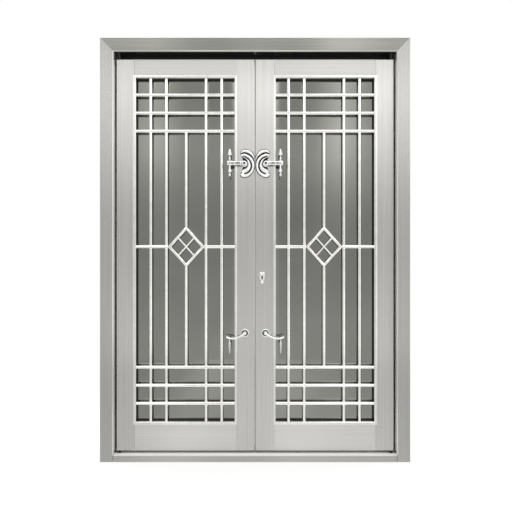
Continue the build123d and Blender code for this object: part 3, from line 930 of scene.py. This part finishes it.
# Upper lever: a grooved flat bar with a boss on the spindle, and a turned finial and drop at its end
lever = {
    "axisY": -62,
    "stations": [  # distance from the spindle, height, thickness
        (-12, 8, 8), (-11, 16, 12), (-7, 23, 14), (0, 26, 15), (8, 24, 14), (14, 20, 11), (18, 20, 11),
        (19, 27, 14), (24, 27, 14), (25, 22, 11), (40, 21, 10), (60, 21, 10), (70, 22, 11), (72, 25, 12),
        (95, 25, 12), (96.6, 23, 10.5), (97, 20, 8),
    ],
    "notch": 1.6, "notchWidth": 2.2, "notchStart": 26, "notchEnd": 96, "sides": 36,
    "finialAt": 83,
    "finial": [
        (3, 11), (3.4, 14), (4, 17), (5.8, 22), (6, 27), (4.6, 32), (2.8, 36), (2.6, 42), (10.5, 43.5),
        (12.4, 46), (12.4, 50), (11, 57), (8.6, 66), (5.6, 75), (2.6, 80), (nearAxis, 81),
    ],
    "drop": [
        (3.6, -11), (4.4, -16), (4.8, -22), (6.2, -30), (8.4, -38), (9.8, -45), (9.2, -50), (5.6, -54),
        (2.8, -56), (2.8, -59), (6.2, -61.5), (7.2, -65), (7, -69), (5, -74), (2.4, -76), (nearAxis, -76.5),
    ],
    "neckRoot": (7, 4),  # radius, distance behind the bar's middle
    "neck": [(8, -20.3), (8, -6.3), (11, -4.3), (5, -4.3)],  # radius, distance from the leaf's face
    "neckEnd": (5, 8),  # radius, distance behind the leaf
    "inlay": {"start": 12, "end": 77, "height": 6, "depth": 3, "front": 6.2},
    "screws": ((0, 8, 6.6), (83, 6, 4.8)),  # distance from the spindle, place in depth, radius
    "screwRim": 0.5, "screwHeight": 0.9, "screwBevel": 0.6, "socketTaper": 0.2, "screwSunk": 0.4,
}


def addUpperLever(form):
    spindleX, spindleZ = scroll["spindle"]
    axisY = lever["axisY"]
    rings = []
    for distance, height, thickness in smoothLine(lever["stations"], 2):
        ring = []
        for k in range(lever["sides"]):
            turn = 2 * pi * (k + 0.5) / lever["sides"]
            a, b = cos(turn), sin(turn)
            y = thickness / 2 * (1 if a > 0 else -1) * abs(a) ** 0.5
            z = height / 2 * (1 if b > 0 else -1) * abs(b) ** 0.5
            if y < 0 and lever["notchStart"] < distance < lever["notchEnd"]:
                y += lever["notch"] * max(0, 1 - (z / lever["notchWidth"]) ** 2)
            ring.append(form.verts.new((spindleX + distance, axisY + y, spindleZ + z)))
        rings.append(ring)
    joinRings(form, rings)
    (rootRadius, rootBehind), (endRadius, endBehind) = lever["neckRoot"], lever["neckEnd"]
    neck = [(r, leafFront + h) for r, h in lever["neck"]]
    profile = [(rootRadius, axisY + rootBehind), *neck, (endRadius, leafBack + endBehind)]
    addTurned(form, profile, spindleX, 0, spindleZ, axis="Y")
    for outline in (lever["finial"], lever["drop"]):
        addTurned(form, smoothLine(outline, 3), spindleX + lever["finialAt"], axisY, spindleZ)


def addScrews(form):
    # a black inlay in the groove along the lever, and the socket screws that hold the lever and its ornament
    spindleX, spindleZ = scroll["spindle"]
    inlay = lever["inlay"]
    middle = spindleX + (inlay["start"] + inlay["end"]) / 2
    y = lever["axisY"] - inlay["front"] + inlay["depth"] / 2
    groove = bmesh.ops.create_cube(form, size=1)["verts"]
    bmesh.ops.scale(form, vec=(inlay["end"] - inlay["start"], inlay["depth"], inlay["height"]), verts=groove)
    bmesh.ops.translate(form, vec=(middle, y, spindleZ), verts=groove)
    top = -lever["screwHeight"]
    for distance, front, size in lever["screws"]:
        head = [
            (size, 0),
            (size, -lever["screwRim"]),
            (size - lever["screwBevel"], top),
            (size / 2, top),
            (size / 2 - lever["socketTaper"], 0),
            (nearAxis, 0),
        ]
        y = lever["axisY"] - front + lever["screwSunk"]
        addTurned(form, head, spindleX + distance, y, spindleZ, sides=24, axis="Y")


# Lower lever: a slim curved bar on a round rose, with a tapered pendant; the back levers share the bar
curl = {
    "spindle": (59, 724),
    "standoff": 42,
    "line": [  # distance from the spindle, height, radius
        (-3, 4, 6.5), (2, 1.5, 8.2), (12, -7, 7.4), (24, -15, 6.4), (40, -22, 5.6), (60, -27, 5.4),
        (78, -27, 5.6), (92, -24, 5.8), (101, -20, 6), (104.5, -17.5, 4.2), (106, -16.5, 0.5),
    ],
    "depthShare": 0.95,  # the bar is a little flatter than round
    "pendantAt": 86,
    "pendant": [
        (1.6, -24), (1.7, -33), (4.2, -35.5), (5.2, -38.5), (4.2, -42), (3.6, -45), (6, -49), (7.8, -55),
        (7.6, -63), (6.4, -78), (5.2, -92), (4.2, -103), (2.6, -110), (nearAxis, -113),
    ],
    "rose": [
        (24, 0), (24, 2), (23.5, 3.8), (22, 5), (20, 5.2), (18.5, 4.4), (18, 3), (11, 3), (10.6, 6),
        (9.6, 7.6), (8.6, 8), (5.1, 8),
    ],
    "dish": [(17.6, 2.6), (17.6, 3.4), (11.2, 3.4), (11.2, 2.6)],
    "neck": [
        (5, 8.3), (8.6, 8.3), (8.4, 12), (6.4, 18), (6, 26), (7.4, 34), (9, 38), (9.4, 43), (8.2, 47.4),
        (5, 49.4), (nearAxis, 49.9),
    ],
    "spindleRadius": 5, "spindleFront": 8.5, "spindleBehind": 8,
}


def addCurl(form, spindleX, spindleZ, faceY, outwards):
    # outwards is -1 on the front face and 1 on the back
    flat = curl["depthShare"]
    line = [(spindleX + a, spindleZ + b, r, r * flat) for a, b, r in smoothLine(curl["line"], 4)]
    addBar(form, line, faceY + outwards * curl["standoff"], sides=24)
    neck = [(r, outwards * h) for r, h in smoothLine(curl["neck"], 3)]
    addTurned(form, neck, spindleX, faceY, spindleZ, axis="Y")


def addRose(form, spindleX, spindleZ, faceY, outwards):
    outline = [(r, outwards * h) for r, h in curl["rose"]]
    addTurned(form, outline, spindleX, faceY, spindleZ, sides=48, axis="Y")


def addLowerRose(form):
    addRose(form, *curl["spindle"], leafFront, -1)


def addRoseDishShade(form):
    # painted shade: a black floor in the rose's dished ring
    spindleX, spindleZ = curl["spindle"]
    addTurned(form, [(r, -h) for r, h in curl["dish"]], spindleX, leafFront, spindleZ, sides=48, axis="Y")


def addLowerLever(form):
    spindleX, spindleZ = curl["spindle"]
    addCurl(form, spindleX, spindleZ, leafFront, -1)
    ends = (-curl["spindleFront"], leafBack - leafFront + curl["spindleBehind"])
    addTurned(form, [(curl["spindleRadius"], h) for h in ends], spindleX, leafFront, spindleZ, axis="Y")


def addPendant(form):
    spindleX, spindleZ = curl["spindle"]
    y = leafFront - curl["standoff"]
    addTurned(form, smoothLine(curl["pendant"], 3), spindleX + curl["pendantAt"], y, spindleZ)


def addBackRoses(form):
    for spindle in (scroll["spindle"], curl["spindle"]):
        addRose(form, *spindle, leafBack, 1)


def addUpperBackLever(form):
    addCurl(form, *scroll["spindle"], leafBack, 1)


def addLowerBackLever(form):
    addCurl(form, *curl["spindle"], leafBack, 1)


# Escutcheons, one on each face: two lobes above and a round foot below, with a keyhole
escutcheon = {
    "place": (40, 1041),
    "half": [
        (0, 28.5), (4, 32.6), (9, 33), (13.6, 29), (14.4, 22), (13.6, 8), (12.2, -6), (9.2, -14),
        (7.2, -18), (8.6, -24), (8, -30.4), (4.6, -33.8), (0, -34.5),
    ],
    "halfSize": (15, 34),
    "rim": ((0, 0), (0, 1.9), (0.35, 2.65), (1.1, 3)),  # distance inwards, height
    "holeTop": 5.2, "holeSide": 4, "holeReach": 12.6,
    "holeHalfSize": (4, 12),
    "holeRim": ((0.8, 3), (0.2, 2.75), (0, 2.1), (0, 0)),  # distance from the hole, height
    "holeShadeMargin": 1, "holeShadeSunk": 0.2, "holeShadeSides": 32,
}


def addEscutcheon(form, faceY, outwards):
    placeX, placeZ = escutcheon["place"]
    half = smoothLine(escutcheon["half"], 4)
    outline = half + [(-a, b) for a, b in half[-2:0:-1]]
    reach, top, side = escutcheon["holeReach"], escutcheon["holeTop"], escutcheon["holeSide"]
    hole = []
    for a, b in outline:
        turn = atan2(b, a * 2)
        hole.append((side * cos(turn) + (top - side) * cos(turn) * max(0, sin(turn)), reach * sin(turn)))
    rings = []
    wide, tall = escutcheon["halfSize"]
    for inset, height in escutcheon["rim"]:
        rings.append([(a * (1 - inset / wide), b * (1 - inset / tall), height) for a, b in outline])
    wide, tall = escutcheon["holeHalfSize"]
    for margin, height in escutcheon["holeRim"]:
        rings.append([(a * (1 + margin / wide), b * (1 + margin / tall), height) for a, b in hole])
    placed = [
        [form.verts.new((placeX + a, faceY + outwards * h, placeZ + b)) for a, b, h in ring] for ring in rings
    ]
    joinRings(form, placed, closed=True)


def addKeyholeShade(form, faceY, outwards):
    # painted shade: a black oval on the leaf's face under the escutcheon, seen through the keyhole
    placeX, placeZ = escutcheon["place"]
    wide, tall = (escutcheon[key] + escutcheon["holeShadeMargin"] for key in ("holeTop", "holeReach"))
    turns = [2 * pi * k / escutcheon["holeShadeSides"] for k in range(escutcheon["holeShadeSides"])]
    rings = []
    for height in (0, escutcheon["holeShadeSunk"]):
        y = faceY + outwards * height
        rings.append([form.verts.new((placeX + wide * cos(a), y, placeZ + tall * sin(a))) for a in turns])
    joinRings(form, rings)


def addEscutcheons(form):
    addEscutcheon(form, leafFront, -1)
    addEscutcheon(form, leafBack, 1)


def addKeyholeShades(form):
    addKeyholeShade(form, leafFront, -1)
    addKeyholeShade(form, leafBack, 1)


for side, hand in hands:
    leaf, upper, lower = f"{side}_leaf", f"{side}_upper_handle", f"{side}_lower_handle"
    for name, draw, material, body, replaced in (
        ("ScrollPlate", addScroll, satinCasting, leaf, [f"{side}_scroll_plate"]),
        ("ScrollBackingAndShadowLine", addBackingAndShadowLine, darkHollowsAndShade, leaf, []),
        ("LeverScrews", addScrews, darkHollowsAndShade, upper, []),
        ("UpperLever", addUpperLever, polishedCasting, upper, [f"{side}_upper_lever"]),
        ("LowerRose", addLowerRose, polishedCasting, leaf, [f"{side}_lower_rose"]),
        ("RoseDishShade", addRoseDishShade, darkHollowsAndShade, leaf, []),
        ("LowerLever", addLowerLever, polishedCasting, lower, [f"{side}_lower_lever"]),
        ("Pendant", addPendant, pendantMetal, lower, []),
        ("BackRoses", addBackRoses, polishedCasting, leaf, [f"{side}_back_roses"]),
        ("UpperBackLever", addUpperBackLever, polishedCasting, upper, [f"{side}_upper_back_lever"]),
        ("LowerBackLever", addLowerBackLever, polishedCasting, lower, [f"{side}_lower_back_lever"]),
    ):
        makePiece(side + name, draw, hand, material, body, replaced, sharpAngles["casting"])
for name, draw, material, replaced in (
    ("keyEscutcheons", addEscutcheons, polishedCasting, ["key_escutcheons"]),
    ("keyholePaintedShade", addKeyholeShades, darkHollowsAndShade, []),
):
    makePiece(name, draw, 1, material, "right_leaf", replaced, sharpAngles["casting"])
print("handles made")
